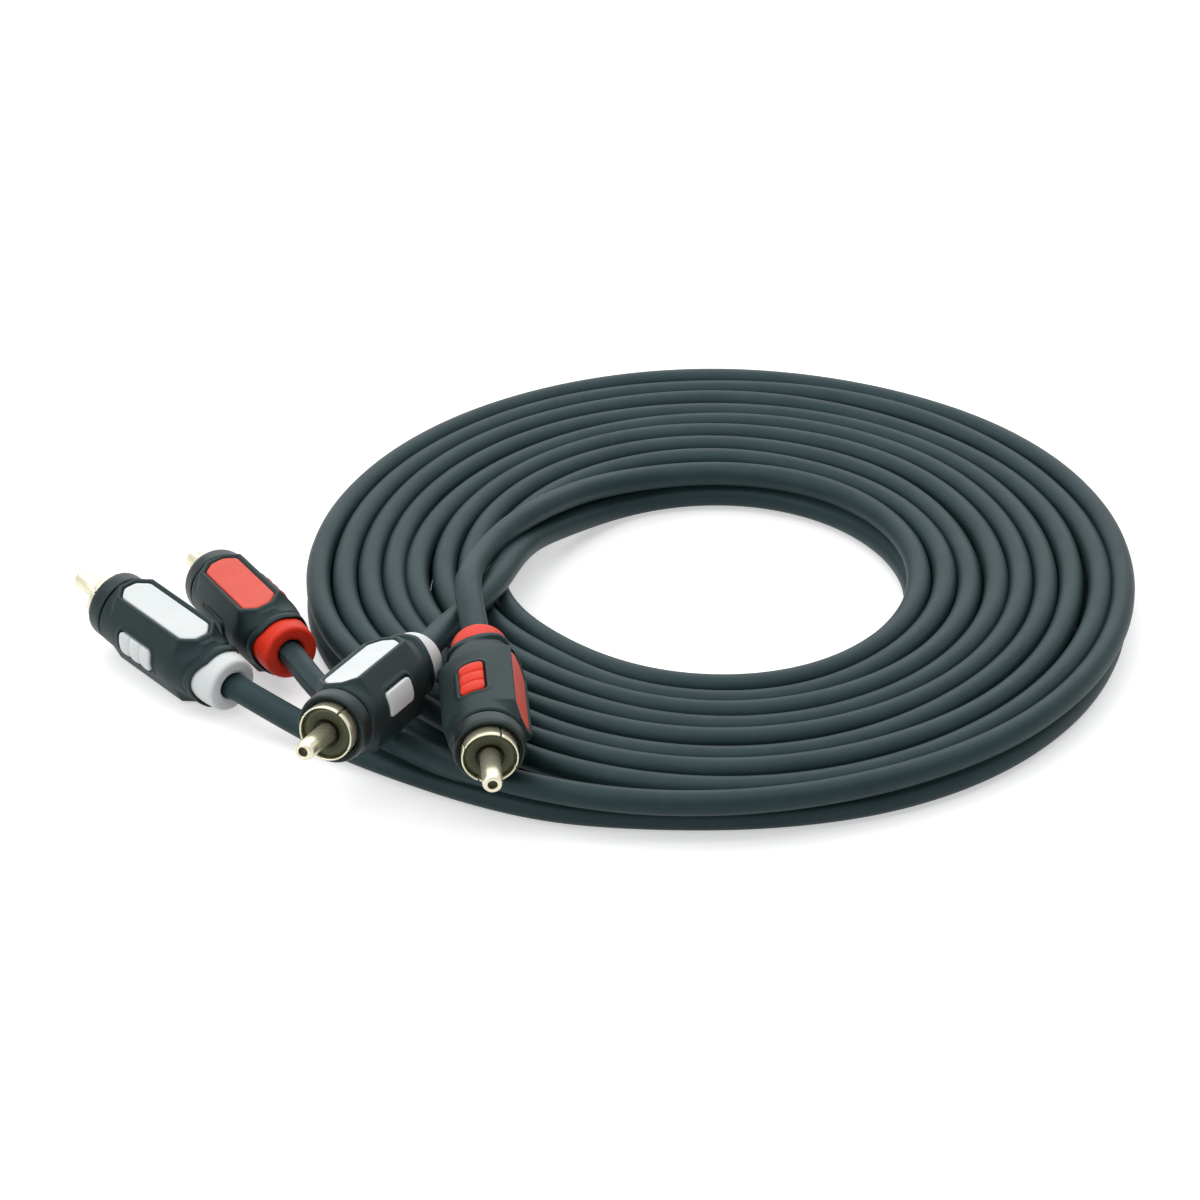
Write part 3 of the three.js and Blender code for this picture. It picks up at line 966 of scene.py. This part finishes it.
def build_plug(plug_name, plug):
    """A plug's visual pieces, where the last list of each names the solids that it replaces."""
    place = placed(plug)
    moulded = "white_moulding" if "white" in plug_name else "red_moulding"
    # the red plugs' panels take the red with the painted sheen
    panel = "white_moulding" if "white" in plug_name else "red_panel"
    parts = [
        ("pin", pin_mesh, "plating", "plating", ["pin"]),
        ("sleeve", sleeve_mesh, "plating", "plating", ["sleeve"]),
        ("insulator", lambda n: lathe(n, insulator_profile()), "insulator", "insulator", ["insulator"]),
        ("nose_ring", lambda n: lathe(n, nose_profile()), "nose", "nose", ["nose_ring"]),
        ("boot", lambda n: boot_mesh(n, plug), "boot", "boot", ["boot"]),
        ("collar", lambda n: lathe(n, collar_profile()), moulded, moulded, ["core"]),
        ("panel_a", lambda n: inlay_mesh(n, 1), panel, moulded, []),
        ("panel_b", lambda n: inlay_mesh(n, -1), panel, moulded, []),
    ]
    ribbed = not plug.get("smooth")
    for side, letter in ((1, "a"), (-1, "b")):
        if plug.get("blind") != side:
            parts.append(
                (f"pad_{letter}", lambda n, side=side: pad_mesh(n, side, ribbed), moulded, moulded, [])
            )
    made = []
    for suffix, build, surface, slot, nodes in parts:
        name = f"{plug_name}_{suffix}_v"
        data = build(name)
        if not data.materials:
            data.materials.append(SURFACES[surface])
        obj = new_piece(name, data)
        if suffix == "insulator":
            # its turned grain runs round its own X axis
            obj.matrix_world = place
        else:
            data.transform(place)
        made.append(obj)
        if nodes:
            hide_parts(*[f"{plug_name}_{n}" for n in nodes])
    bpy.context.view_layer.update()
    for obj in made:
        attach(obj, "root")
    return made


pieces = {name: build_plug(name, plug) for name, plug in PLUGS.items()}

for obj, line, colour, other in (
    (red_wire, red_line, "red", "front_red"),
    (white_wire, white_line, "white", "front_white"),
):
    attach(obj, "root")
    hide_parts(f"{colour}_wire_coil", f"{colour}_lead_in", f"{colour}_lead_out")


def seen_white(nodes, links):
    """1 for what the camera sees, directly, mirrored or through a clear surface, and 0 for other light."""
    ray = nodes.new("ShaderNodeLightPath")
    seen = ray.outputs["Is Camera Ray"]
    for other in ("Is Glossy Ray", "Is Transmission Ray"):
        either = nodes.new("ShaderNodeMath")
        either.operation = "MAXIMUM"
        links.new(seen, either.inputs[0])
        links.new(ray.outputs[other], either.inputs[1])
        seen = either.outputs["Value"]
    return seen


# Floor: a pale sheet just under the part that glows a little where it is seen, so that it looks white
FLOOR_HALF = 3
FLOOR_DROP = 0.0001
FLOOR_GLOW = 0.52

mesh = bmesh.new()
corners = [(-1, -1), (1, -1), (1, 1), (-1, 1)]
mesh.faces.new([mesh.verts.new((FLOOR_HALF * x, FLOOR_HALF * y, -FLOOR_DROP)) for x, y in corners])
data = bpy.data.meshes.new("floor")
mesh.to_mesh(data)
mesh.free()
floor = new_piece("floor", data)
sheet = Look("floor")
pale, paler = (0.86, 0.86, 0.86, 1), (0.88, 0.88, 0.88, 1)
sheet.set(Base_Color=sheet.ramp(sheet.noise(3, 2), (0.3, pale), (0.7, paler)))
sheet.set(Roughness=0.9, Specular_IOR_Level=0.1, Emission_Color=(1, 1, 1, 1))
glow = sheet.add("ShaderNodeMath", operation="MULTIPLY")
sheet.links.new(seen_white(sheet.nodes, sheet.links), glow.inputs[0])
glow.inputs[1].default_value = FLOOR_GLOW
sheet.set(Emission_Strength=glow.outputs["Value"])
data.materials.append(sheet.material)


def lamp(name, location, target, size, power):
    data = bpy.data.lights.new(name, "AREA")
    data.shape = "RECTANGLE"
    data.size, data.size_y = size
    data.energy = power
    obj = bpy.data.objects.new(name, data)
    bpy.context.collection.objects.link(obj)
    obj.location = location
    aim = Vector(target) - Vector(location)
    obj.rotation_euler = aim.to_track_quat("-Z", "Y").to_euler()


# Lamps, in metres and watts, round the middle of the part
centre = Vector((0.05, 0.036, 0))
lamp("top", centre + Vector((-0.05, 0.12, 1)), centre, (1.7, 1.5), 12.4)
lamp("back", centre + Vector((0, 0.95, 0.5)), centre, (1.3, 0.4), 2.8)
lamp("left", centre + Vector((-0.75, -0.45, 0.5)), centre, (0.6, 0.6), 2.2)

# The room: a dim cool light, but white where it is seen
ROOM_COLOUR = (0.8, 0.84, 0.88, 1)
ROOM_STRENGTH = 0.15

world = bpy.data.worlds.new("world")
bpy.context.scene.world = world
world.use_nodes = True
nodes, links = world.node_tree.nodes, world.node_tree.links
background = nodes["Background"]
background.inputs["Color"].default_value = ROOM_COLOUR
background.inputs["Strength"].default_value = ROOM_STRENGTH
white = nodes.new("ShaderNodeBackground")
white.inputs["Color"].default_value = (1, 1, 1, 1)
white.inputs["Strength"].default_value = 1
mix = nodes.new("ShaderNodeMixShader")
links.new(seen_white(nodes, links), mix.inputs["Fac"])
links.new(background.outputs["Background"], mix.inputs[1])
links.new(white.outputs["Background"], mix.inputs[2])
links.new(mix.outputs["Shader"], nodes["World Output"].inputs["Surface"])

bpy.context.scene.view_settings.view_transform = "Standard"
